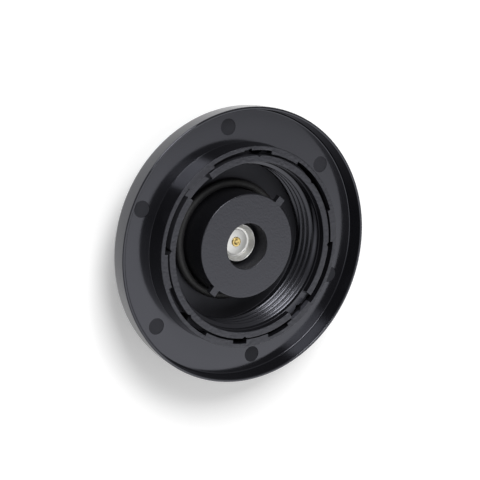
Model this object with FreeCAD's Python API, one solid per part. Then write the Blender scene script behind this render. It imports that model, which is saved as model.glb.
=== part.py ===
import FreeCAD, Part
import math
import os
from FreeCAD import Vector

# Expansion tank cap, in millimetres. It lies on its crown with the open side up.
# The origin is the centre of the crown's flat face, and +Z is the screw axis towards the tank.
# Angles are degrees from +X, counter-clockwise as seen from the open side.

# Lid: crown, flange and skirt
rim_radius = 52.5
rim_height = 26.0
rim_edge = 0.45
skirt_wall = 1.2
skirt_taper = 0.25
skirt_depth = 6.4
flange_wall = 2.4
shoulder_round = 2.2
crown_wall = 2.5
crown_taper = 0.8
crown_edge_round = 1.6
crown_root_round = 1.2

# Lid: finger flutes round the crown
flute_count = 12
flute_radius = 10.0
flute_depth = 1.2

# Lid: collar that holds the threaded ring
collar_bore = 36.75
collar_wall = 1.85
collar_rise = 2.2
collar_edge = 0.4
pad_count = 6
pad_width_deg = 20.0
pad_first_deg = 13.8
pad_reach = 1.15
pad_height = 3.1

# Threaded ring
ring_play_axial = 0.3
ring_lip_drop = 0.1
bead_play = 0.5
bead_height = 3.2
bead_step = 1.35
ring_wall = 2.8
ring_floor_depth = 16.3
ring_floor_wall = 2.5
key_notch_first_deg = 138.0
key_notch_width_deg = 19.0
key_notch_depth = 2.8
groove_count = 8
groove_first_deg = 2.0
groove_depth = 0.8
groove_half_width = 1.2

# Neck thread in the ring's bore, right-hand, drawn with flats
thread_pitch = 3.0
thread_height = 1.6
thread_crest_width = 1.2
thread_root_width = 2.4
thread_set_in = 0.6
thread_above_floor = 1.4
thread_flat_count = 24
thread_first_deg = 345.0
thread_sweep_deg = 1500.0
thread_fade_deg = 45.0

# Ratchet between the lid's floor and the ring's lower edge
ratchet_lid_teeth = 12
ratchet_ring_teeth = 24
ratchet_height = 1.2
ratchet_width = 3.2
ratchet_inset = 0.2
ratchet_play = 0.4

# Valve housing, the plug in the middle
plug_radius = 20.0
plug_face_drop = 1.2
plug_edge_round = 0.5
nub_first_deg = 54.5
nub_width = 2.9
nub_reach = 2.6
nub_height = 2.4
valve_bore = 8.7
bore_edge = 0.3
chamber_radius = 12.6
chamber_wall = 2.0
chamber_floor_gap = 0.9
snap_reach = 0.45
snap_height = 1.2
fit_play = 0.15
joint_play = 0.05

# Seal round the root of the plug
neck_seal_section = 1.65
neck_seal_side_count = 6

# Vacuum valve: dish, rivet, spring and clip
dish_lip_play = 1.3
dish_flare = 1.3
dish_lip_depth = 6.2
dish_depth = 2.0
dish_sheet = 0.5
rivet_head_radius = 1.85
rivet_head_height = 0.55
rivet_dimple = 0.25
rivet_stem_radius = 1.1
rivet_hole_play = 0.05
vacuum_spring_length = 2.8
vacuum_spring_turn_count = 3
vacuum_wire_radius = 0.22
vacuum_coil_play = 0.8
clip_overhang = 0.58
clip_sheet = 0.6
clip_rivet_over = 0.3

# Pressure valve: rubber seal, plate and spring
pressure_seal_thickness = 1.5
seal_under_dish = 1.9
plate_sheet = 0.6
plate_play = 0.7
plate_rim_height = 0.9
plate_rim_wall = 0.4
plate_stem_play = 0.2
port_count = 4
port_radius = 0.7
port_web = 0.6
spring_turn_count = 4
spring_wire_radius = 0.7
spring_set_in = 1.0
coil_step_count = 14
wire_side_count = 6

# Flats that draw a rounding, so that the solids stay light
large_round = 2.0
large_round_flat_count = 2
small_round_flat_count = 1

# How far a cutting shape stands past what it cuts
overshoot = 1.0

# Spring cover at the bottom of the valve housing
cover_sheet = 1.2
vent_count = 4
vent_radius = 1.2
vent_web = 3.8

# Heights and radii that follow from the sizes above
flange_inner_z = rim_height - skirt_depth
flange_outer_z = flange_inner_z - flange_wall
collar_top_z = rim_height + collar_rise
collar_radius = collar_bore + collar_wall
crown_radius = collar_radius + crown_taper

ring_top_z = collar_top_z - ring_lip_drop
bead_top_z = collar_top_z - pad_height - ring_play_axial
bead_radius = collar_bore - bead_play
ring_radius = bead_radius - bead_step
ring_bore = ring_radius - ring_wall
ring_floor_z = rim_height - ring_floor_depth
ring_bottom_z = crown_wall + ratchet_height + ratchet_play
key_notch_z = ring_top_z - key_notch_depth

plug_face_z = rim_height - plug_face_drop
chamber_outer = chamber_radius + chamber_wall
housing_bottom_z = crown_wall + chamber_floor_gap
cover_top_z = housing_bottom_z + cover_sheet

dish_lip_z = plug_face_z - dish_lip_depth
dish_under_z = dish_lip_z - dish_depth - dish_sheet
seat_z = dish_under_z
pressure_seal_top_z = seat_z - joint_play
plate_top_z = pressure_seal_top_z - pressure_seal_thickness
plate_under_z = plate_top_z - plate_sheet
clip_top_z = plate_under_z - vacuum_spring_length

dish_lip_radius = valve_bore - dish_lip_play
dish_floor_radius = dish_lip_radius - dish_flare
vacuum_coil_radius = rivet_stem_radius + vacuum_coil_play
clip_radius = vacuum_coil_radius + vacuum_wire_radius + clip_overhang
pressure_seal_inner = dish_floor_radius - seal_under_dish
plate_hole = rivet_stem_radius + plate_stem_play
port_circle = plate_hole + port_web + 2 * port_radius
plate_radius = chamber_radius - plate_play
spring_coil_radius = plate_radius - spring_set_in - spring_wire_radius
vent_circle = 2 * vent_radius + vent_web

ORIGIN = Vector(0, 0, 0)
UP = Vector(0, 0, 1)


def turned(corners):
    """Solid of revolution about Z from (radius, height, corner rounding) points."""
    count = len(corners)
    points = []
    for i, (radius, height, rounding) in enumerate(corners):
        here = Vector(radius, 0, height)
        if rounding <= 0:
            points.append(here)
            continue
        before = Vector(corners[i - 1][0], 0, corners[i - 1][1])
        after = Vector(corners[(i + 1) % count][0], 0, corners[(i + 1) % count][1])
        to_before = (before - here).normalize()
        to_after = (after - here).normalize()
        half = to_before.getAngle(to_after) / 2
        set_back = rounding / math.tan(half)
        centre = here + (to_before + to_after).normalize() * (rounding / math.sin(half))
        start = here + to_before * set_back - centre
        end = here + to_after * set_back - centre
        flats = small_round_flat_count if rounding < large_round else large_round_flat_count
        swing = start.getAngle(end)
        for flat in range(flats + 1):
            share = flat / flats
            toward = start * math.sin((1 - share) * swing) + end * math.sin(share * swing)
            points.append(centre + toward * (1 / math.sin(swing)))
    return Part.Face(Part.makePolygon(points + points[:1])).revolve(ORIGIN, UP, 360)


def ring(inner, outer, low, high):
    """Plain ring or, with no inner radius, a plain disc."""
    solid = Part.makeCylinder(outer, high - low, Vector(0, 0, low))
    if inner > 0:
        solid = solid.cut(Part.makeCylinder(inner, high - low, Vector(0, 0, low)))
    return solid


def sector(inner, outer, low, high, middle_deg, width_deg):
    """Part of a ring between two angles."""
    corners = [Vector(inner, 0, low), Vector(outer, 0, low), Vector(outer, 0, high), Vector(inner, 0, high)]
    face = Part.Face(Part.makePolygon(corners + corners[:1]))
    solid = face.revolve(ORIGIN, UP, width_deg)
    solid.rotate(ORIGIN, UP, middle_deg - width_deg / 2)
    return solid


def around(shape, count, first_deg=0.0):
    """Copies of a shape evenly spaced about Z, the first one turned to first_deg."""
    copies = []
    for i in range(count):
        copy = shape.copy()
        copy.rotate(ORIGIN, UP, first_deg + i * 360.0 / count)
        copies.append(copy)
    return copies


def prism(outline, direction):
    """Closed outline pushed along a direction."""
    return Part.Face(Part.makePolygon(outline + outline[:1])).extrude(direction)


def ratchet_tooth(base_z, tip_z, steep_side):
    """Saw tooth across the ring's wall, steep on one side and sloped on the other."""
    half = ratchet_width / 2
    inner = ring_bore + ratchet_inset
    outer = ring_radius - ratchet_inset
    outline = [
        Vector(inner, -half, base_z),
        Vector(inner, half, base_z),
        Vector(inner, half * steep_side, tip_z),
    ]
    return prism(outline, Vector(outer - inner, 0, 0))


def outward(angle):
    """Unit vector away from the axis, at an angle in radians."""
    return Vector(math.cos(angle), math.sin(angle), 0)


def skinned(sections):
    """Solid from a row of outlines with as many corners each, skinned with flat triangles."""
    outlines = [sections[0], sections[-1]]
    for near, far in zip(sections, sections[1:]):
        for i in range(len(near)):
            outlines.append([near[i - 1], near[i], far[i]])
            outlines.append([near[i - 1], far[i], far[i - 1]])
    faces = [Part.Face(Part.makePolygon(outline + outline[:1])) for outline in outlines]
    shell = Part.Shell(faces)
    shell.sewShape()
    return Part.Solid(shell)


def coil(turns, coil_radius, wire_radius, low, high):
    """Compression spring between two heights, its wire drawn with flat sides."""
    steps = turns * coil_step_count
    sections = []
    for i in range(steps + 1):
        away = outward(2 * math.pi * i / coil_step_count)
        rise = low + wire_radius + (high - low - 2 * wire_radius) * i / steps
        corners = []
        for side in range(wire_side_count):
            around_wire = 2 * math.pi * (side + 0.5) / wire_side_count
            reach = coil_radius + wire_radius * math.cos(around_wire)
            corners.append(away * reach + UP * (rise + wire_radius * math.sin(around_wire)))
        sections.append(corners)
    return skinned(sections)


def write(shape, node):
    """One solid to its file."""
    shape.exportStep("parts/" + node + ".step")


def lid():
    """Crown, flange, skirt and collar in one moulding."""
    body = turned([
        (0, 0, 0),
        (crown_radius, 0, crown_edge_round),
        (crown_radius + crown_taper, flange_outer_z, crown_root_round),
        (rim_radius - skirt_taper, flange_outer_z, shoulder_round),
        (rim_radius, rim_height, rim_edge),
        (rim_radius - skirt_wall, rim_height, rim_edge),
        (rim_radius - skirt_wall - skirt_taper, flange_inner_z, 0),
        (collar_radius, flange_inner_z, 0),
        (collar_radius, collar_top_z, collar_edge),
        (collar_bore, collar_top_z, 0),
        (collar_bore, crown_wall, 0),
        (0, crown_wall, 0),
    ])
    flute_middle = crown_radius + flute_radius - flute_depth
    flute = Part.makeCylinder(flute_radius, flange_outer_z, Vector(flute_middle, 0, 0))
    pad_low = collar_top_z - pad_height
    pad_root = collar_bore + collar_wall / 2
    pad = sector(collar_bore - pad_reach, pad_root, pad_low, collar_top_z, 0, pad_width_deg)
    tooth = ratchet_tooth(crown_wall, crown_wall + ratchet_height, -1)
    body = body.fuse(around(pad, pad_count, pad_first_deg) + around(tooth, ratchet_lid_teeth))
    return body.cut(around(flute, flute_count, 180.0 / flute_count)).removeSplitter()


def neck_thread():
    """Thread for the tank neck, which fades into the ring's wall at both ends."""
    steps = round(thread_flat_count * thread_sweep_deg / 360.0)
    fade_steps = thread_flat_count * thread_fade_deg / 360.0
    slope = (thread_root_width - thread_crest_width) / 2 / thread_height
    root = ring_bore + thread_set_in
    half_root = thread_root_width / 2 + thread_set_in * slope
    sections = []
    for i in range(steps + 1):
        away = outward(math.radians(thread_first_deg) + 2 * math.pi * i / thread_flat_count)
        middle = ring_floor_z + thread_above_floor + thread_pitch * i / thread_flat_count
        rise = thread_height * min(1.0, (i - 0.5) / fade_steps, (steps - i - 0.5) / fade_steps)
        half_crest = thread_root_width / 2 - rise * slope
        sections.append([
            away * root + UP * (middle - half_root),
            away * (ring_bore - rise) + UP * (middle - half_crest),
            away * (ring_bore - rise) + UP * (middle + half_crest),
            away * root + UP * (middle + half_root),
        ])
    return skinned(sections)


def threaded_ring():
    """Inner ring that screws on the tank neck, its bore flat-sided behind the thread."""
    bead_low = bead_top_z - bead_height
    body = turned([
        (ring_radius, ring_bottom_z, 0),
        (ring_radius, bead_low - bead_step, 0),
        (bead_radius, bead_low, 0),
        (bead_radius, bead_top_z, 0),
        (ring_radius, bead_top_z, 0),
        (ring_radius, ring_top_z, 0),
        (ring_bore, ring_top_z, 0),
        (ring_bore, key_notch_z, 0),
        (ring_bore - overshoot, key_notch_z, 0),
        (ring_bore - overshoot, ring_floor_z, 0),
        (chamber_outer + fit_play, ring_floor_z, 0),
        (chamber_outer + fit_play, ring_floor_z - ring_floor_wall, 0),
        (ring_bore, ring_floor_z - ring_floor_wall, 0),
        (ring_bore, ring_bottom_z, 0),
    ])
    flat_bore = []
    for i in range(thread_flat_count):
        away = outward(math.radians(thread_first_deg) + 2 * math.pi * i / thread_flat_count)
        flat_bore.append(away * ring_bore + UP * ring_floor_z)
    notch = sector(
        ring_bore - overshoot, ring_radius + overshoot, key_notch_z, ring_top_z + overshoot,
        0, key_notch_width_deg,
    )
    groove_root = ring_radius - groove_depth
    slope = groove_half_width / groove_depth
    mouth = bead_radius + overshoot
    groove = prism([
        Vector(groove_root, 0, bead_low - bead_step),
        Vector(mouth, -(mouth - groove_root) * slope, bead_low - bead_step),
        Vector(mouth, (mouth - groove_root) * slope, bead_low - bead_step),
    ], Vector(0, 0, ring_top_z - bead_low + bead_step + overshoot))
    tooth = ratchet_tooth(ring_bottom_z, ring_bottom_z - ratchet_height, 1)
    half_step = 180.0 / ratchet_ring_teeth
    body = body.fuse(around(tooth, ratchet_ring_teeth, half_step))
    body = body.cut(around(notch, 2, key_notch_first_deg) + around(groove, groove_count, groove_first_deg))
    body = body.cut(prism(flat_bore, UP * (key_notch_z - ring_floor_z)))
    return body.removeSplitter().fuse(neck_thread())


def valve_housing():
    """Plug with the valve bore, the seat, the spring chamber and a snap bead under the ring's floor."""
    snap_top = ring_floor_z - ring_floor_wall - joint_play
    body = turned([
        (valve_bore, plug_face_z, bore_edge),
        (valve_bore, seat_z, 0),
        (chamber_radius, seat_z, 0),
        (chamber_radius, housing_bottom_z, 0),
        (chamber_outer, housing_bottom_z, 0),
        (chamber_outer, snap_top - snap_height, 0),
        (chamber_outer + snap_reach, snap_top, 0),
        (chamber_outer, snap_top, 0),
        (chamber_outer, ring_floor_z, 0),
        (plug_radius, ring_floor_z, 0),
        (plug_radius, plug_face_z, plug_edge_round),
    ])
    root = plug_radius - nub_reach / 2
    nub = Part.makeBox(
        plug_radius + nub_reach - root, nub_width, nub_height,
        Vector(root, -nub_width / 2, plug_face_z - nub_height),
    )
    return body.fuse(around(nub, 2, nub_first_deg)).removeSplitter()


def neck_seal():
    """Rubber ring in the corner between the plug and the ring's floor."""
    middle = plug_radius + fit_play + neck_seal_section
    corners = []
    for side in range(neck_seal_side_count):
        turn = 2 * math.pi * (side + 0.5) / neck_seal_side_count
        radius = middle + neck_seal_section * math.cos(turn)
        corners.append((radius, ring_floor_z + neck_seal_section * (1 + math.sin(turn)), 0))
    return turned(corners)


def vacuum_dish():
    """Pressed sheet dish, open towards the tank, with a hole for the rivet."""
    floor_z = dish_lip_z - dish_depth
    return turned([
        (rivet_stem_radius + rivet_hole_play, dish_under_z, 0),
        (dish_floor_radius, dish_under_z, dish_sheet),
        (dish_lip_radius, dish_lip_z, 0),
        (dish_lip_radius - dish_sheet, dish_lip_z, 0),
        (dish_floor_radius - dish_sheet, floor_z, 0),
        (rivet_stem_radius + rivet_hole_play, floor_z, 0),
    ])


def vacuum_rivet():
    """Brass rivet through the dish, with a dimpled head and a peened end under the clip."""
    head_low = dish_lip_z - dish_depth
    end_z = clip_top_z - clip_sheet
    return turned([
        (0, end_z - clip_rivet_over, 0),
        (rivet_stem_radius + clip_rivet_over, end_z - clip_rivet_over, 0),
        (rivet_stem_radius + clip_rivet_over, end_z, 0),
        (rivet_stem_radius, end_z, 0),
        (rivet_stem_radius, head_low, 0),
        (rivet_head_radius, head_low, 0),
        (rivet_head_radius, head_low + rivet_head_height, rivet_dimple),
        (rivet_stem_radius, head_low + rivet_head_height, 0),
        (rivet_stem_radius / 2, head_low + rivet_head_height - rivet_dimple, 0),
        (0, head_low + rivet_head_height - rivet_dimple, 0),
    ])


def vacuum_clip():
    """Washer that the vacuum spring pushes on, held by the rivet's peened end."""
    return ring(rivet_stem_radius + rivet_hole_play, clip_radius, clip_top_z - clip_sheet, clip_top_z)


def vacuum_spring():
    """Light spring round the rivet, between the pressure plate and the clip."""
    return coil(
        vacuum_spring_turn_count, vacuum_coil_radius, vacuum_wire_radius,
        clip_top_z + joint_play, plate_under_z - joint_play,
    )


def pressure_seal():
    """Flat rubber ring: the housing's seat presses on its outer part and the dish on its inner part."""
    outer = plate_radius - plate_rim_wall - joint_play
    return ring(pressure_seal_inner, outer, plate_top_z, pressure_seal_top_z)


def pressure_plate():
    """Pressed plate that carries the rubber ring, with ports round the rivet."""
    body = turned([
        (plate_hole, plate_under_z, 0),
        (plate_radius, plate_under_z, 0),
        (plate_radius, plate_top_z + plate_rim_height, 0),
        (plate_radius - plate_rim_wall, plate_top_z + plate_rim_height, 0),
        (plate_radius - plate_rim_wall, plate_top_z, 0),
        (plate_hole, plate_top_z, 0),
    ])
    port = Part.makeCylinder(port_radius, plate_sheet, Vector(port_circle, 0, plate_under_z))
    return body.cut(around(port, port_count))


def pressure_spring():
    """Strong spring between the cover and the pressure plate."""
    return coil(
        spring_turn_count, spring_coil_radius, spring_wire_radius,
        cover_top_z + joint_play, plate_under_z - joint_play,
    )


def spring_cover():
    """Vented disc pressed into the end of the spring chamber."""
    disc = ring(0, chamber_radius - joint_play, housing_bottom_z, cover_top_z)
    vent = Part.makeCylinder(vent_radius, cover_sheet, Vector(vent_circle, 0, housing_bottom_z))
    return disc.cut(around(vent, vent_count))


os.makedirs("parts", exist_ok=True)
write(lid(), "lid")
write(threaded_ring(), "threaded_ring")
write(valve_housing(), "valve_housing")
write(neck_seal(), "neck_seal")
write(vacuum_dish(), "vacuum_dish")
write(vacuum_rivet(), "vacuum_rivet")
write(vacuum_clip(), "vacuum_clip")
write(vacuum_spring(), "vacuum_spring")
write(pressure_seal(), "pressure_seal")
write(pressure_plate(), "pressure_plate")
write(pressure_spring(), "pressure_spring")
write(spring_cover(), "spring_cover")
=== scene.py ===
import bpy
import bmesh
import math
from mathutils import Matrix, Vector


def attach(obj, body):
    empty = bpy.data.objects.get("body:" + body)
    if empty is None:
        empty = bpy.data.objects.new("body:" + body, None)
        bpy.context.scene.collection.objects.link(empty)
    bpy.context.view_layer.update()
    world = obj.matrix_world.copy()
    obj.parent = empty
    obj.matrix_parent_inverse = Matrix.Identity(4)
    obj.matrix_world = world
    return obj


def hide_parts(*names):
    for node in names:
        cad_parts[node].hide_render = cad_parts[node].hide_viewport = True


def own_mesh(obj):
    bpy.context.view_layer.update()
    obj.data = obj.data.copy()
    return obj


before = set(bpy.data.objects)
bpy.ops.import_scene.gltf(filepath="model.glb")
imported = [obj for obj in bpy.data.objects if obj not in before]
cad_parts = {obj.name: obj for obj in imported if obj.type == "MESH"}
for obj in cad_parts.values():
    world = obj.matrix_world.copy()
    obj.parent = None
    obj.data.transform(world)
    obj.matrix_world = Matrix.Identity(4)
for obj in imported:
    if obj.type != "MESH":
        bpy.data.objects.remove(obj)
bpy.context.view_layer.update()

# Lid
# One black moulding of glass-filled polyamide: crown, flange, skirt, and a collar with six snap pads, a block
# between two of them and a nick in its lip. Ejector pins leave six round marks on the flange, and ratchet
# teeth stand on the inside of the crown.

# Sizes are in millimetres, and MM turns them to metres. Places nearer than CLOSE are one place,
# NEAR and UPWARD choose faces by their middle and their normal, and a cutter stands out by OVERSHOOT.
MM = 0.001
CLOSE = 0.01
NEAR = 0.1
UPWARD = 0.7
OVERSHOOT = 1.0
ROUNDING_STEPS = 4
SECTOR_STEPS = 24
LID_COLUMNS = 360
RIM_RADIUS = 52.5
RIM_HEIGHT = 26.0
RIM_EDGE = 0.45
SKIRT_WALL = 1.2
SKIRT_TAPER = 0.25
FLANGE_DEPTH = 6.4
FLANGE_WALL = 2.4
FLANGE_TOP = RIM_HEIGHT - FLANGE_DEPTH
FLANGE_BACK = FLANGE_TOP - FLANGE_WALL
SHOULDER_ROUND = 2.2
INNER_ROUND = 0.5
CROWN_RADIUS = 39.4
CROWN_TAPER = 0.8
CROWN_WALL = 2.5
CROWN_EDGE = 1.6
CROWN_FOOT = 1.2
COLLAR_HEIGHT = 2.2
COLLAR_TOP = RIM_HEIGHT + COLLAR_HEIGHT
COLLAR_BORE = 36.75
COLLAR_RADIUS = 38.6
COLLAR_DRAFT = 0.3
COLLAR_EDGE = 0.3
COLLAR_LIP_BAND = 0.6
FINE_ROUND = 0.15
FLUTE_COUNT = 12
FLUTE_RADIUS = 10.0
FLUTE_DEPTH = 1.2
FLUTE_REACH = 3.0
PAD_COUNT = 6
PAD_FIRST_DEG = 13.8
PAD_WIDTH_DEG = 20.0
PAD_REACH = 1.15
PAD_HEIGHT = 3.1
PAD_ROOTED = 0.6
BLOCK_DEG = -79.0
BLOCK_WIDTH_DEG = 15.5
BLOCK_REACH = 1.5
NICK_DEG = 100.0
NICK_WIDTH_DEG = 5.0
NICK_REACH = 0.75
NICK_DEPTH = 1.5
TOOTH_HEIGHT = 1.2
TOOTH_WIDTH = 3.2
TOOTH_INNER = 32.3
TOOTH_OUTER = 34.7
TOOTH_ROOTED = 0.5
LID_TOOTH_COUNT = 12
PIN_MARK_COUNT = 6
PIN_MARK_FIRST_DEG = 43.8
PIN_MARK_CIRCLE = 45.0
PIN_MARK_RADIUS = 3.1
PIN_MARK_DEPTH = 0.2
PIN_MARK_SIDES = 48
PIN_FACE = FLANGE_TOP - PIN_MARK_DEPTH
LIP_FINISH = {"roughness": 0.42, "grain_high_mm": 0.3, "grain_mm": 1.3}


def rounded(corners):
    """Outline points from (radius, height, rounding) corners, with each rounding drawn as an arc."""
    points = []
    for i, (radius, height, rounding) in enumerate(corners):
        here = Vector((radius, height))
        if rounding == 0:
            points.append(here)
            continue
        to_before = (Vector(corners[i - 1][:2]) - here).normalized()
        to_after = (Vector(corners[(i + 1) % len(corners)][:2]) - here).normalized()
        half = to_before.angle(to_after) / 2
        inward = (to_before + to_after).normalized()
        centre = here + inward * rounding / math.sin(half)
        start = here + to_before * rounding / math.tan(half) - centre
        end = here + to_after * rounding / math.tan(half) - centre
        for step in range(ROUNDING_STEPS + 1):
            toward = start.normalized().slerp(end.normalized(), step / ROUNDING_STEPS)
            points.append(centre + toward * rounding)
    return points


def finished(name, shape):
    """Object from a bmesh, with its normals outward."""
    bmesh.ops.recalc_face_normals(shape, faces=shape.faces)
    mesh = bpy.data.meshes.new(name)
    shape.to_mesh(mesh)
    shape.free()
    piece = bpy.data.objects.new(name, mesh)
    bpy.context.scene.collection.objects.link(piece)
    return piece


def turned(name, corners, columns, radius_at=None):
    """Closed solid of revolution about Z; radius_at may change a point's radius by its angle and height."""
    shape = bmesh.new()
    rings = []
    for radius, height in rounded(corners):
        if radius == 0:
            rings.append([shape.verts.new((0, 0, height * MM))])
            continue
        ring = []
        for column in range(columns):
            angle = 2 * math.pi * column / columns
            reach = radius_at(angle, radius, height) if radius_at else radius
            x = reach * math.cos(angle)
            y = reach * math.sin(angle)
            ring.append(shape.verts.new((x * MM, y * MM, height * MM)))
        rings.append(ring)
    for i, ring in enumerate(rings):
        after = rings[(i + 1) % len(rings)]
        if len(ring) == 1 and len(after) == 1:
            continue
        for column in range(columns):
            following = (column + 1) % columns
            if len(ring) == 1:
                shape.faces.new((ring[0], after[column], after[following]))
            elif len(after) == 1:
                shape.faces.new((ring[column], after[0], ring[following]))
            else:
                shape.faces.new((ring[column], after[column], after[following], ring[following]))
    return finished(name, shape)


def sector(inner, outer, width_deg):
    """Outline of a ring's sector, with its middle on the X axis."""
    angles = [math.radians(width_deg * (i / SECTOR_STEPS - 0.5)) for i in range(SECTOR_STEPS + 1)]
    outside = [(outer * math.cos(angle), outer * math.sin(angle)) for angle in angles]
    inside = [(inner * math.cos(angle), inner * math.sin(angle)) for angle in reversed(angles)]
    return outside + inside


def circle(x, y, radius, sides):
    """Outline of a circle, drawn with straight sides."""
    angles = [2 * math.pi * i / sides for i in range(sides)]
    return [(x + radius * math.cos(angle), y + radius * math.sin(angle)) for angle in angles]


def pushed(outline, start, end, first_deg, count=1, shape=None):
    """Bmesh with like prisms evenly about Z: an outline in X and Y pushed from one height to another."""
    if shape is None:
        shape = bmesh.new()
    for i in range(count):
        turn = Matrix.Rotation(math.radians(first_deg + i * 360 / count), 4, "Z")
        low = [shape.verts.new(turn @ Vector((x * MM, y * MM, start * MM))) for x, y in outline]
        high = [shape.verts.new(turn @ Vector((x * MM, y * MM, end * MM))) for x, y in outline]
        shape.faces.new(low[::-1])
        shape.faces.new(high)
        for side in range(len(outline)):
            after = (side + 1) % len(outline)
            shape.faces.new((low[side], low[after], high[after], high[side]))
    return shape


def saw_teeth(base, tip, steep_side, first_deg, count):
    """Bmesh of ratchet teeth evenly about Z, steep on one side and rooted in the wall they stand on."""
    shape = bmesh.new()
    half = TOOTH_WIDTH / 2
    root = base - math.copysign(TOOTH_ROOTED, tip - base)
    outline = [(-half, root), (half, root), (half, base), (half * steep_side, tip), (-half, base)]
    for i in range(count):
        turn = Matrix.Rotation(math.radians(first_deg + i * 360 / count), 4, "Z")
        ends = []
        for x in (TOOTH_INNER, TOOTH_OUTER):
            ends.append([shape.verts.new(turn @ Vector((x * MM, y * MM, z * MM))) for y, z in outline])
            shape.faces.new(ends[-1])
        inner, outer = ends
        for side in range(len(outline)):
            shape.faces.new((inner[side - 1], inner[side], outer[side], outer[side - 1]))
    return shape


def carve(piece, operation, shape):
    """Joins a bmesh to a piece or cuts it out, and keeps the result as the piece's mesh."""
    tool = finished(piece.name + "_tool", shape)
    modifier = piece.modifiers.new("carve", "BOOLEAN")
    modifier.operation = operation
    modifier.solver = "EXACT"
    modifier.object = tool
    graph = bpy.context.evaluated_depsgraph_get()
    result = bpy.data.meshes.new_from_object(piece.evaluated_get(graph))
    piece.modifiers.clear()
    piece.data = result
    bpy.data.objects.remove(tool)


def smooth(piece, sharp_deg=35):
    """Smooth shading that stays sharp at real edges and keeps the large faces flat."""
    piece.data.shade_smooth()
    piece.data.set_sharp_from_angle(angle=math.radians(sharp_deg))
    weighted = piece.modifiers.new("flat faces", "WEIGHTED_NORMAL")
    weighted.keep_sharp = True


def linear(colour):
    """Linear red, green, blue and alpha of an sRGB hex colour."""
    parts = [int(colour[i:i + 2], 16) / 255 for i in (1, 3, 5)]
    return [c / 12.92 if c <= 0.04045 else ((c + 0.055) / 1.055) ** 2.4 for c in parts] + [1.0]


def empty_material(name):
    """Material whose nodes are still to be added."""
    material = bpy.data.materials.new(name)
    material.use_nodes = True
    material.node_tree.nodes.clear()
    return material


def add(owner, kind, settings=(), links=()):
    """Adds a node, sets its properties or inputs by name, and links its inputs to other nodes' outputs."""
    node = owner.node_tree.nodes.new(kind)
    for name, value in dict(settings).items():
        if hasattr(node, name):
            setattr(node, name, value)
        else:
            node.inputs[name].default_value = value
    for name, source in dict(links).items():
        owner.node_tree.links.new(node.inputs[name], source)
    return node


def glass_filled_polyamide(name, roughness, grain_high_mm, grain_mm=0.7):
    """Black glass-filled polyamide with the soft sheen of a worn polished mould.
    Its flow leaves slightly paler and duller patches. The glass fibres under the skin are too fine
    to show, so their grain is drawn as coarse as it needs to be, and coarser still on the lips."""
    material = empty_material(name)
    patch_mm = 14.0
    shinier = 0.05
    duller = 0.07
    place = add(material, "ShaderNodeTexCoord").outputs["Object"]
    patches = add(material, "ShaderNodeTexNoise",
                  {"Scale": 1 / (patch_mm * MM), "Detail": 3.0}, {"Vector": place})
    grain = add(material, "ShaderNodeTexNoise",
                {"Scale": 1 / (grain_mm * MM), "Detail": 4.0}, {"Vector": place})
    colour = add(material, "ShaderNodeMix",
                 {"data_type": "RGBA", "A": linear("#121215"), "B": linear("#19191c")},
                 {"Factor": patches.outputs["Fac"]})
    dull = add(material, "ShaderNodeMapRange",
               {"To Min": roughness - shinier, "To Max": roughness + duller},
               {"Value": patches.outputs["Fac"]})
    bump = add(material, "ShaderNodeBump",
               {"Strength": 1.0, "Distance": grain_high_mm * MM}, {"Height": grain.outputs["Fac"]})
    shader = add(material, "ShaderNodeBsdfPrincipled",
                 {"IOR": 1.53, "Specular IOR Level": 0.52, "Specular Tint": linear("#eff1ff")},
                 {"Base Color": colour.outputs["Result"], "Roughness": dull.outputs["Result"],
                  "Normal": bump.outputs["Normal"]})
    add(material, "ShaderNodeOutputMaterial", links={"Surface": shader.outputs["BSDF"]})
    return material


def finish_where(piece, material, chosen):
    """Gives one more material to the faces that are chosen by their middle, in mm, and their normal."""
    piece.data.materials.append(material)
    for face in piece.data.polygons:
        if chosen(face.center / MM, face.normal):
            face.material_index = len(piece.data.materials) - 1


def flute_radius_at(angle, radius, height):
    """Radius of the crown's side where the finger flutes are pressed into it."""
    if height > FLANGE_BACK - CLOSE or radius < CROWN_RADIUS - FLUTE_REACH:
        return radius
    step = 2 * math.pi / FLUTE_COUNT
    off = (angle % step) - step / 2
    middle = CROWN_RADIUS + FLUTE_RADIUS - FLUTE_DEPTH
    inside = FLUTE_RADIUS ** 2 - (middle * math.sin(off)) ** 2
    if inside <= 0:
        return radius
    return min(radius, middle * math.cos(off) - math.sqrt(inside))


lid = turned("lid_moulding", [
    (0, 0, 0),
    (CROWN_RADIUS, 0, CROWN_EDGE),
    (CROWN_RADIUS + CROWN_TAPER, FLANGE_BACK, CROWN_FOOT),
    (RIM_RADIUS - SKIRT_TAPER, FLANGE_BACK, SHOULDER_ROUND),
    (RIM_RADIUS, RIM_HEIGHT, RIM_EDGE),
    (RIM_RADIUS - SKIRT_WALL, RIM_HEIGHT, RIM_EDGE),
    (RIM_RADIUS - SKIRT_WALL - SKIRT_TAPER, FLANGE_TOP, INNER_ROUND),
    (COLLAR_RADIUS, FLANGE_TOP, FINE_ROUND),
    (COLLAR_RADIUS - COLLAR_DRAFT, COLLAR_TOP, COLLAR_EDGE),
    (COLLAR_BORE, COLLAR_TOP, FINE_ROUND),
    (COLLAR_BORE, CROWN_WALL, INNER_ROUND),
    (0, CROWN_WALL, 0),
], LID_COLUMNS, radius_at=flute_radius_at)

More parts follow.
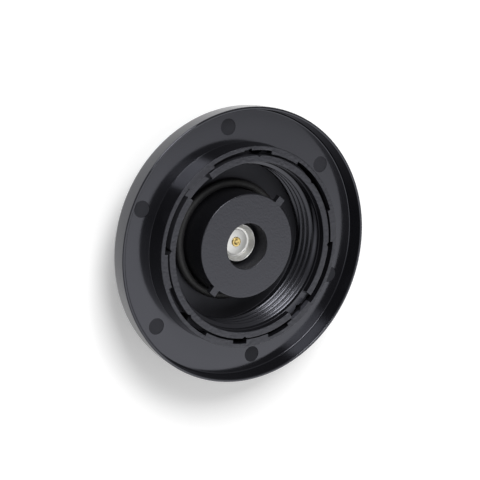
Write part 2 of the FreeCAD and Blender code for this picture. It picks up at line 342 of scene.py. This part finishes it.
pad = sector(COLLAR_BORE - PAD_REACH, COLLAR_BORE + PAD_ROOTED, PAD_WIDTH_DEG)
block = sector(COLLAR_BORE - BLOCK_REACH, COLLAR_BORE + PAD_ROOTED, BLOCK_WIDTH_DEG)
pads = pushed(pad, COLLAR_TOP - PAD_HEIGHT, COLLAR_TOP, PAD_FIRST_DEG, PAD_COUNT)
pushed(block, COLLAR_TOP - PAD_HEIGHT, COLLAR_TOP, BLOCK_DEG, shape=pads)
carve(lid, "UNION", pads)
teeth = saw_teeth(CROWN_WALL, CROWN_WALL + TOOTH_HEIGHT, steep_side=-1, first_deg=0, count=LID_TOOTH_COUNT)
carve(lid, "UNION", teeth)
nick = sector(COLLAR_BORE - OVERSHOOT, COLLAR_BORE + NICK_REACH, NICK_WIDTH_DEG)
carve(lid, "DIFFERENCE", pushed(nick, COLLAR_TOP - NICK_DEPTH, COLLAR_TOP + OVERSHOOT, NICK_DEG))
mark = circle(PIN_MARK_CIRCLE, 0, PIN_MARK_RADIUS, PIN_MARK_SIDES)
marks = pushed(mark, PIN_FACE, FLANGE_TOP + OVERSHOOT, PIN_MARK_FIRST_DEG, PIN_MARK_COUNT)
carve(lid, "DIFFERENCE", marks)
smooth(lid)
lid.data.materials.append(
    glass_filled_polyamide("moulded polyamide, lid", roughness=0.13, grain_high_mm=0.006))
finish_where(
    lid, glass_filled_polyamide("moulded polyamide, pin marks", roughness=0.75, grain_high_mm=0.02),
    lambda middle, normal: abs(middle.z - PIN_FACE) < CLOSE and normal.z > UPWARD)
finish_where(
    lid, glass_filled_polyamide("moulded polyamide, collar lip", **LIP_FINISH),
    lambda middle, normal: (middle.z > COLLAR_TOP - COLLAR_LIP_BAND
                            and middle.xy.length < COLLAR_RADIUS + NEAR))
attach(lid, "lid")
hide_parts("lid")

# Threaded ring
# A second black moulding that screws on the tank neck; it is unscrewed from its core in the mould.
# The lid's pads hold it by its bead, which has eight V grooves, and ratchet teeth stand on its lower edge.

RING_COLUMNS = 300
RING_SUNK = 0.1
RING_TOP = COLLAR_TOP - RING_SUNK
RING_BOTTOM = 4.1
RING_RADIUS = 34.9
RING_BORE = 32.3
RING_EDGE = 0.3
RING_LIP_BAND = 0.4
BEAD_PLAY = 0.3
BEAD_HEIGHT = 3.2
BEAD_RADIUS = 36.25
BEAD_EDGE = 0.2
BEAD_TOP = COLLAR_TOP - PAD_HEIGHT - BEAD_PLAY
BEAD_LOW = BEAD_TOP - BEAD_HEIGHT
BEAD_FOOT = BEAD_LOW - (BEAD_RADIUS - RING_RADIUS)
FLOOR_DEPTH = 16.3
FLOOR_WALL = 2.5
FLOOR_HOLE = 14.75
FLOOR_BAND = 0.4
RING_FLOOR = RIM_HEIGHT - FLOOR_DEPTH
RING_FLOOR_BACK = RING_FLOOR - FLOOR_WALL
THREAD_PITCH = 3.0
THREAD_ROOT = 32.1
THREAD_CREST = 30.5
THREAD_HALF_WIDTH = 1.2
THREAD_ABOVE_FLOOR = 1.4
THREAD_LOW = RING_FLOOR + THREAD_ABOVE_FLOOR
THREAD_FIRST_DEG = 345.0
THREAD_SWEEP_DEG = 1500.0
THREAD_FADE_DEG = 45.0
THREAD_ROWS = 100
ROWS_ABOVE_FLOOR = 0.3
NOTCH_COUNT = 2
NOTCH_FIRST_DEG = 138.0
NOTCH_WIDTH_DEG = 19.0
NOTCH_DEPTH = 2.8
NOTCH_REACH = 2.5
GROOVE_COUNT = 8
GROOVE_FIRST_DEG = 2.0
GROOVE_DEPTH = 0.8
GROOVE_HALF_WIDTH = 1.2
RING_TOOTH_COUNT = 24


def thread_radius_at(angle, radius, height):
    """Radius of the bore with the round-crested neck thread on it, faded into the wall at both ends."""
    if abs(radius - THREAD_ROOT) > CLOSE:
        return radius
    share = (angle / (2 * math.pi) - THREAD_FIRST_DEG / 360) % 1.0
    turn = max(0, round((height - THREAD_LOW) / THREAD_PITCH - share))
    off = abs(height - THREAD_LOW - (turn + share) * THREAD_PITCH)
    stand = (1 + math.cos(math.pi * min(1.0, off / THREAD_HALF_WIDTH))) / 2
    along = (turn + share) * 360
    fade = min(1.0, along / THREAD_FADE_DEG, (THREAD_SWEEP_DEG - along) / THREAD_FADE_DEG)
    return radius - (THREAD_ROOT - THREAD_CREST) * stand * max(0.0, fade)


rows_top = RING_TOP - NOTCH_DEPTH
rows_low = RING_FLOOR + ROWS_ABOVE_FLOOR
bore_rows = [(THREAD_ROOT, rows_top + (rows_low - rows_top) * i / THREAD_ROWS, 0)
             for i in range(THREAD_ROWS + 1)]
ring = turned("threaded_ring_moulding", [
    (RING_RADIUS, RING_BOTTOM, 0),
    (RING_RADIUS, BEAD_FOOT, 0),
    (BEAD_RADIUS, BEAD_LOW, 0),
    (BEAD_RADIUS, BEAD_TOP, BEAD_EDGE),
    (RING_RADIUS, BEAD_TOP, 0),
    (RING_RADIUS, RING_TOP, RING_EDGE),
    (RING_BORE, RING_TOP, RING_EDGE),
    (RING_BORE, rows_top + (RING_BORE - THREAD_ROOT), 0),
    *bore_rows,
    (THREAD_ROOT, RING_FLOOR, INNER_ROUND),
    (FLOOR_HOLE, RING_FLOOR, 0),
    (FLOOR_HOLE, RING_FLOOR_BACK, 0),
    (THREAD_ROOT, RING_FLOOR_BACK, INNER_ROUND),
    (THREAD_ROOT, RING_BOTTOM, 0),
], RING_COLUMNS, radius_at=thread_radius_at)

teeth = saw_teeth(RING_BOTTOM, RING_BOTTOM - TOOTH_HEIGHT, steep_side=1,
                  first_deg=180 / RING_TOOTH_COUNT, count=RING_TOOTH_COUNT)
carve(ring, "UNION", teeth)
notch = sector(RING_BORE - NOTCH_REACH, RING_RADIUS + OVERSHOOT, NOTCH_WIDTH_DEG)
notches = pushed(notch, RING_TOP - NOTCH_DEPTH, RING_TOP + OVERSHOOT, NOTCH_FIRST_DEG, NOTCH_COUNT)
carve(ring, "DIFFERENCE", notches)
groove_root = RING_RADIUS - GROOVE_DEPTH
groove_mouth = BEAD_RADIUS + OVERSHOOT
mouth_half = (groove_mouth - groove_root) * GROOVE_HALF_WIDTH / GROOVE_DEPTH
groove = [(groove_root, 0), (groove_mouth, -mouth_half), (groove_mouth, mouth_half)]
grooves = pushed(groove, BEAD_FOOT, RING_TOP + OVERSHOOT, GROOVE_FIRST_DEG, GROOVE_COUNT)
carve(ring, "DIFFERENCE", grooves)
smooth(ring)
ring.data.materials.append(
    glass_filled_polyamide("moulded polyamide, ring", roughness=0.22, grain_high_mm=0.01))
finish_where(
    ring, glass_filled_polyamide("moulded polyamide, ring floor", roughness=0.6, grain_high_mm=0.015),
    lambda middle, normal: abs(middle.z - RING_FLOOR) < FLOOR_BAND and normal.z > UPWARD)
finish_where(
    ring, glass_filled_polyamide("moulded polyamide, ring lip", **LIP_FINISH),
    lambda middle, normal: middle.z > RING_TOP - RING_LIP_BAND)
finish_where(
    ring, glass_filled_polyamide("moulded polyamide, ring bead", roughness=0.8, grain_high_mm=0.02),
    lambda middle, normal: (middle.xy.length > RING_RADIUS - NEAR
                            and middle.z < RING_TOP - RING_LIP_BAND))
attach(ring, "inner")
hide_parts("threaded_ring")

# Valve housing
# The black plug in the middle, a third moulding, snapped through the ring's floor.
# Its bore leads to the valves, and two nubs on its edge keep the rubber ring from slipping off.

PLUG_COLUMNS = 192
PLUG_RADIUS = 20.0
PLUG_SUNK = 1.2
PLUG_FACE = RIM_HEIGHT - PLUG_SUNK
PLUG_EDGE = 0.5
VALVE_BORE = 8.7
VALVE_BORE_EDGE = 0.35
SEAT_DEPTH = 8.7
SEAT = PLUG_FACE - SEAT_DEPTH
CHAMBER_RADIUS = 12.6
CHAMBER_OUTER = 14.6
HOUSING_BOTTOM = 3.4
SNAP_PLAY = 0.05
SNAP_HEIGHT = 1.2
SNAP_REACH = 0.45
SNAP_TOP = RING_FLOOR_BACK - SNAP_PLAY
NUB_COUNT = 2
NUB_FIRST_DEG = 54.5
NUB_WIDTH = 2.9
NUB_REACH = 2.6
NUB_HEIGHT = 2.4
NUB_ROOTED = 1.2

plug = turned("valve_housing_moulding", [
    (VALVE_BORE, PLUG_FACE, VALVE_BORE_EDGE),
    (VALVE_BORE, SEAT, 0),
    (CHAMBER_RADIUS, SEAT, 0),
    (CHAMBER_RADIUS, HOUSING_BOTTOM, 0),
    (CHAMBER_OUTER, HOUSING_BOTTOM, 0),
    (CHAMBER_OUTER, SNAP_TOP - SNAP_HEIGHT, 0),
    (CHAMBER_OUTER + SNAP_REACH, SNAP_TOP, 0),
    (CHAMBER_OUTER, SNAP_TOP, 0),
    (CHAMBER_OUTER, RING_FLOOR, 0),
    (PLUG_RADIUS, RING_FLOOR, 0),
    (PLUG_RADIUS, PLUG_FACE, PLUG_EDGE),
], PLUG_COLUMNS)
nub = [(PLUG_RADIUS - NUB_ROOTED, -NUB_WIDTH / 2), (PLUG_RADIUS + NUB_REACH, -NUB_WIDTH / 2),
       (PLUG_RADIUS + NUB_REACH, NUB_WIDTH / 2), (PLUG_RADIUS - NUB_ROOTED, NUB_WIDTH / 2)]
nubs = pushed(nub, PLUG_FACE - NUB_HEIGHT, PLUG_FACE, NUB_FIRST_DEG, NUB_COUNT)
carve(plug, "UNION", nubs)
smooth(plug)
plug.data.materials.append(
    glass_filled_polyamide("moulded polyamide, plug", roughness=0.3, grain_high_mm=0.08))
finish_where(
    plug, glass_filled_polyamide("moulded polyamide, valve bore", roughness=0.65, grain_high_mm=0.1),
    lambda middle, normal: abs(middle.xy.length - VALVE_BORE) < NEAR and abs(normal.z) < NEAR)
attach(plug, "inner")
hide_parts("valve_housing")

# Neck seal
# A black rubber ring, moulded and flash-trimmed, in the corner between the plug and the ring's floor.
# Rubber gives a soft dull highlight along its crest.

SEAL_PLAY = 0.15
SEAL_SECTION = 1.65
SEAL_SIDES = 32
SEAL_MIDDLE = PLUG_RADIUS + SEAL_PLAY + SEAL_SECTION


def rubber(name):
    """Black rubber with a dull, slightly bloomed skin."""
    material = empty_material(name)
    bloom_mm = 3.0
    bloom_high_mm = 0.03
    place = add(material, "ShaderNodeTexCoord").outputs["Object"]
    bloom = add(material, "ShaderNodeTexNoise",
                {"Scale": 1 / (bloom_mm * MM), "Detail": 5.0}, {"Vector": place})
    colour = add(material, "ShaderNodeMix",
                 {"data_type": "RGBA", "A": linear("#141415"), "B": linear("#202021")},
                 {"Factor": bloom.outputs["Fac"]})
    bump = add(material, "ShaderNodeBump",
               {"Strength": 0.2, "Distance": bloom_high_mm * MM}, {"Height": bloom.outputs["Fac"]})
    shader = add(material, "ShaderNodeBsdfPrincipled", {"IOR": 1.52, "Roughness": 0.62},
                 {"Base Color": colour.outputs["Result"], "Normal": bump.outputs["Normal"]})
    add(material, "ShaderNodeOutputMaterial", links={"Surface": shader.outputs["BSDF"]})
    return material


section = circle(SEAL_MIDDLE, RING_FLOOR + SEAL_SECTION, SEAL_SECTION, SEAL_SIDES)
seal = turned("neck_seal_ring", [(radius, height, 0) for radius, height in section], PLUG_COLUMNS)
smooth(seal)
seal_rubber = rubber("moulded rubber")
seal.data.materials.append(seal_rubber)
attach(seal, "inner")
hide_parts("neck_seal")

# Vacuum valve
# A pressed, tin-plated steel dish in the bore, held by a turned brass rivet with a dimpled head.
# A light spring pushes on a washer at the rivet's hidden end, and so pulls the dish down to its rubber seat.

DISH_COLUMNS = 128
DISH_SUNK = 6.2
DISH_DEPTH = 2.0
DISH_LIP = PLUG_FACE - DISH_SUNK
DISH_LIP_RADIUS = 7.4
DISH_LIP_EDGE = 0.2
DISH_FLOOR = DISH_LIP - DISH_DEPTH
DISH_FLOOR_RADIUS = 6.1
DISH_OUTER_BEND = 0.6
DISH_INNER_BEND = 0.12
DISH_SHEET = 0.5
DISH_RING = 4.9
DISH_RING_HALF_WIDTH = 0.3
DISH_RING_DEPTH = 0.15
RIVET_COLUMNS = 64
RIVET_RADIUS = 1.85
RIVET_STEM = 1.1
RIVET_PLAY = 0.05
RIVET_EDGE = 0.1
RIVET_HEAD_HEIGHT = 0.55
RIVET_HEAD = DISH_FLOOR + RIVET_HEAD_HEIGHT
RIVET_HEAD_ROUND = 0.25
RIVET_DIMPLE = 0.25
RIVET_FOOT = 0.3
RIVET_END = 10.25


def plated_steel(name, roughness):
    """Tin-plated steel: bright, and duller in clouds where the tin is thicker."""
    material = empty_material(name)
    cloud_mm = 2.5
    ripple_high_mm = 0.02
    shinier = 0.06
    duller = 0.08
    place = add(material, "ShaderNodeTexCoord").outputs["Object"]
    clouds = add(material, "ShaderNodeTexNoise",
                 {"Scale": 1 / (cloud_mm * MM), "Detail": 4.0}, {"Vector": place})
    colour = add(material, "ShaderNodeMix",
                 {"data_type": "RGBA", "A": linear("#c4c4c2"), "B": linear("#dededc")},
                 {"Factor": clouds.outputs["Fac"]})
    dull = add(material, "ShaderNodeMapRange",
               {"To Min": roughness - shinier, "To Max": roughness + duller},
               {"Value": clouds.outputs["Fac"]})
    bump = add(material, "ShaderNodeBump",
               {"Strength": 0.15, "Distance": ripple_high_mm * MM}, {"Height": clouds.outputs["Fac"]})
    shader = add(material, "ShaderNodeBsdfPrincipled", {"Metallic": 1.0},
                 {"Base Color": colour.outputs["Result"], "Roughness": dull.outputs["Result"],
                  "Normal": bump.outputs["Normal"]})
    add(material, "ShaderNodeOutputMaterial", links={"Surface": shader.outputs["BSDF"]})
    return material


def turned_brass(name):
    """Turned brass, warm yellow, a little darker where it has tarnished."""
    material = empty_material(name)
    tarnish_mm = 1.2
    tarnish_high_mm = 0.02
    place = add(material, "ShaderNodeTexCoord").outputs["Object"]
    tarnish = add(material, "ShaderNodeTexNoise",
                  {"Scale": 1 / (tarnish_mm * MM), "Detail": 3.0}, {"Vector": place})
    colour = add(material, "ShaderNodeMix",
                 {"data_type": "RGBA", "A": linear("#7d6230"), "B": linear("#efd894")},
                 {"Factor": tarnish.outputs["Fac"]})
    bump = add(material, "ShaderNodeBump",
               {"Strength": 0.2, "Distance": tarnish_high_mm * MM}, {"Height": tarnish.outputs["Fac"]})
    shader = add(material, "ShaderNodeBsdfPrincipled", {"Metallic": 1.0, "Roughness": 0.28},
                 {"Base Color": colour.outputs["Result"], "Normal": bump.outputs["Normal"]})
    add(material, "ShaderNodeOutputMaterial", links={"Surface": shader.outputs["BSDF"]})
    return material


dish = turned("vacuum_dish_pressing", [
    (RIVET_STEM + RIVET_PLAY, DISH_FLOOR - DISH_SHEET, 0),
    (DISH_FLOOR_RADIUS, DISH_FLOOR - DISH_SHEET, DISH_OUTER_BEND),
    (DISH_LIP_RADIUS, DISH_LIP, DISH_LIP_EDGE),
    (DISH_LIP_RADIUS - DISH_SHEET, DISH_LIP, DISH_LIP_EDGE),
    (DISH_FLOOR_RADIUS - DISH_SHEET, DISH_FLOOR, DISH_INNER_BEND),
    (DISH_RING + DISH_RING_HALF_WIDTH, DISH_FLOOR, 0),
    (DISH_RING, DISH_FLOOR - DISH_RING_DEPTH, 0),
    (DISH_RING - DISH_RING_HALF_WIDTH, DISH_FLOOR, 0),
    (RIVET_STEM + RIVET_PLAY, DISH_FLOOR, 0),
], DISH_COLUMNS)
smooth(dish, sharp_deg=50)
dish_steel = plated_steel("tin-plated steel, dish", roughness=0.43)
dish.data.materials.append(dish_steel)
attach(dish, "vacuum_valve")
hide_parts("vacuum_dish")

rivet = turned("vacuum_rivet_head_and_stem", [
    (0, RIVET_END, 0),
    (RIVET_STEM + RIVET_FOOT, RIVET_END, RIVET_EDGE),
    (RIVET_STEM + RIVET_FOOT, RIVET_END + RIVET_FOOT, 0),
    (RIVET_STEM, RIVET_END + RIVET_FOOT, 0),
    (RIVET_STEM, DISH_FLOOR, 0),
    (RIVET_RADIUS, DISH_FLOOR, 0),
    (RIVET_RADIUS, RIVET_HEAD, RIVET_HEAD_ROUND),
    (RIVET_STEM, RIVET_HEAD, RIVET_EDGE),
    (RIVET_STEM / 2, RIVET_HEAD - RIVET_DIMPLE, RIVET_EDGE),
    (0, RIVET_HEAD - RIVET_DIMPLE, 0),
], RIVET_COLUMNS)
smooth(rivet)
rivet.data.materials.append(turned_brass("turned brass"))
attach(rivet, "vacuum_valve")
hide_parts("vacuum_rivet")

# Springs
# Two springs coiled from round steel wire: a strong one that presses the plate up, between it and the cover,
# and a light one round the rivet, between the plate and the washer. Each gets shorter as its valve opens.

COIL_STEPS = 32
WIRE_SIDES = 10
PLATE_BACK = 13.9
STRONG_LOW = 4.65
STRONG_COIL = 10.2
STRONG_WIRE = 0.7
STRONG_TURNS = 4
LIGHT_LOW = 11.2
LIGHT_COIL = 1.9
LIGHT_WIRE = 0.22
LIGHT_TURNS = 3


def wire_coil(name, turns, coil_radius, wire_radius, low, high):
    """Compression spring of round wire between two heights."""
    shape = bmesh.new()
    steps = turns * COIL_STEPS
    loops = []
    for i in range(steps + 1):
        around = 2 * math.pi * i / COIL_STEPS
        rise = low + wire_radius + (high - low - 2 * wire_radius) * i / steps
        loop = []
        for radius, height in circle(coil_radius, rise, wire_radius, WIRE_SIDES):
            x = radius * math.cos(around)
            y = radius * math.sin(around)
            loop.append(shape.verts.new((x * MM, y * MM, height * MM)))
        loops.append(loop)
    for loop, after in zip(loops, loops[1:]):
        for side in range(WIRE_SIDES):
            following = (side + 1) % WIRE_SIDES
            shape.faces.new((loop[side], loop[following], after[following], after[side]))
    shape.faces.new(loops[0])
    shape.faces.new(loops[-1])
    return finished(name, shape)


wire_steel = plated_steel("drawn spring wire", roughness=0.35)
strong = wire_coil("pressure_spring_wire", STRONG_TURNS, STRONG_COIL, STRONG_WIRE, STRONG_LOW, PLATE_BACK)
smooth(strong)
strong.data.materials.append(wire_steel)
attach(strong, "inner")
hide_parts("pressure_spring")
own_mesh(strong)

light = wire_coil("vacuum_spring_wire", LIGHT_TURNS, LIGHT_COIL, LIGHT_WIRE, LIGHT_LOW, PLATE_BACK)
smooth(light)
light.data.materials.append(wire_steel)
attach(light, "pressure_valve")
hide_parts("vacuum_spring")
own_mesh(light)

# Pressure valve and spring cover
# Hidden behind the dish: a rubber ring on a pressed plate, a washer and a vented disc.
# They keep their own solids and take the finish of plated sheet and of rubber.

for node, material in [
    ("pressure_seal", seal_rubber),
    ("pressure_plate", dish_steel),
    ("vacuum_clip", dish_steel),
    ("spring_cover", dish_steel),
]:
    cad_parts[node].data.materials.clear()
    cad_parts[node].data.materials.append(material)

# Floor
# A plain white table under the cap, as wide as the camera sees. It shows paler to the camera
# and in reflections than it is lit, and keeps the cap's shadow.

FLOOR_SIZE = 6.0
PAPER_LIFT = 0.22

floor_shape = bmesh.new()
bmesh.ops.create_grid(floor_shape, x_segments=1, y_segments=1, size=FLOOR_SIZE / 2)
floor = finished("floor", floor_shape)
paper = empty_material("white paper")
ray = add(paper, "ShaderNodeLightPath")
in_mirror = add(paper, "ShaderNodeMath", {"operation": "MAXIMUM"},
                {0: ray.outputs["Is Glossy Ray"], 1: ray.outputs["Is Transmission Ray"]})
in_view = add(paper, "ShaderNodeMath", {"operation": "MAXIMUM"},
              {0: ray.outputs["Is Camera Ray"], 1: in_mirror.outputs["Value"]})
lift = add(paper, "ShaderNodeMapRange", {"To Max": PAPER_LIFT}, {"Value": in_view.outputs["Value"]})
sheet = add(paper, "ShaderNodeBsdfDiffuse", {"Color": linear("#f4f4f4")})
glow = add(paper, "ShaderNodeEmission", {"Color": linear("#ffffff")}, {"Strength": lift.outputs["Result"]})
both = add(paper, "ShaderNodeAddShader", links={0: sheet.outputs["BSDF"], 1: glow.outputs["Emission"]})
add(paper, "ShaderNodeOutputMaterial", links={"Surface": both.outputs["Shader"]})
floor.data.materials.append(paper)

# Camera
# It looks down on the open side, with the cap's axis tipped to the right and down in the picture.
# The rim's middle is placed in view by distances in rim radii.

IMAGE_PIXELS = 480
FOCAL_PIXELS = 1300
SENSOR_MM = 36.0
AXIS_IN_VIEW = Vector((0.5217, -0.2015, 0.829)).normalized()
RIM_IN_VIEW = Vector((0.065, -0.049, -9.237)) * RIM_RADIUS * MM

across = Vector((0, 1, 0)).cross(AXIS_IN_VIEW).normalized()
upward = AXIS_IN_VIEW.cross(across)
from_view = Matrix((across, upward, AXIS_IN_VIEW))
rim_middle = Vector((0, 0, RIM_HEIGHT * MM))
camera_data = bpy.data.cameras.new("camera")
camera_data.sensor_width = SENSOR_MM
camera_data.lens = FOCAL_PIXELS / IMAGE_PIXELS * SENSOR_MM
camera = bpy.data.objects.new("camera", camera_data)
bpy.context.scene.collection.objects.link(camera)
camera.matrix_world = Matrix.Translation(rim_middle - from_view @ RIM_IN_VIEW) @ from_view.to_4x4()
bpy.context.scene.camera = camera
bpy.context.scene.view_settings.view_transform = "Standard"

# Light
# One soft lamp above the camera, in a white studio. Gloss shows the studio as dim, with a pale corner
# low on the right, and everything else gets an even soft light from it.

KEY_FROM = (0.27, 0.47, 0.84)
KEY_DISTANCE = 1.6
KEY_SIZE = 0.7
KEY_WATTS = 21.0
WHITE = 1.0
SOFT_LIGHT = 0.5
DIM_GLOW = 0.3
PALE_GLOW = 1.95
# An axis in view, and how far along it the studio is dim and pale
PALE_BELOW = ((0, 1, 0), -0.1, -0.4)
PALE_RIGHT = ((1, 0, 0), -0.4, 0.6)

key_data = bpy.data.lights.new("key light", "AREA")
key_data.size = KEY_SIZE
key_data.energy = KEY_WATTS
key = bpy.data.objects.new("key light", key_data)
bpy.context.scene.collection.objects.link(key)
away = from_view @ Vector(KEY_FROM).normalized()
key.location = rim_middle + away * KEY_DISTANCE
key.rotation_mode = "QUATERNION"
key.rotation_quaternion = away.to_track_quat("Z", "Y")

studio = bpy.data.worlds.new("studio")
studio.use_nodes = True
bpy.context.scene.world = studio
backdrop = studio.node_tree.nodes["Background"]
backdrop.inputs["Color"].default_value = linear("#ffffff")
toward = add(studio, "ShaderNodeTexCoord").outputs["Generated"]
shares = []
for axis_in_view, dim_at, pale_at in [PALE_BELOW, PALE_RIGHT]:
    reach = add(studio, "ShaderNodeVectorMath", {"operation": "DOT_PRODUCT"}, {0: toward})
    reach.inputs[1].default_value = from_view @ Vector(axis_in_view)
    share = add(studio, "ShaderNodeMapRange",
                {"interpolation_type": "SMOOTHSTEP", "From Min": dim_at, "From Max": pale_at},
                {"Value": reach.outputs["Value"]})
    shares.append(share.outputs["Result"])
corner = add(studio, "ShaderNodeMath", {"operation": "MULTIPLY"}, dict(enumerate(shares)))
gloss = add(studio, "ShaderNodeMapRange", {"To Min": DIM_GLOW, "To Max": PALE_GLOW},
            {"Value": corner.outputs["Value"]})
ray = add(studio, "ShaderNodeLightPath")
lit = add(studio, "ShaderNodeMix", {"A": SOFT_LIGHT},
          {"Factor": ray.outputs["Is Glossy Ray"], "B": gloss.outputs["Result"]})
in_view = add(studio, "ShaderNodeMath", {"operation": "MAXIMUM"},
              {0: ray.outputs["Is Camera Ray"], 1: ray.outputs["Is Transmission Ray"]})
strength = add(studio, "ShaderNodeMix", {"B": WHITE},
               {"Factor": in_view.outputs["Value"], "A": lit.outputs["Result"]})
studio.node_tree.links.new(backdrop.inputs["Strength"], strength.outputs["Result"])
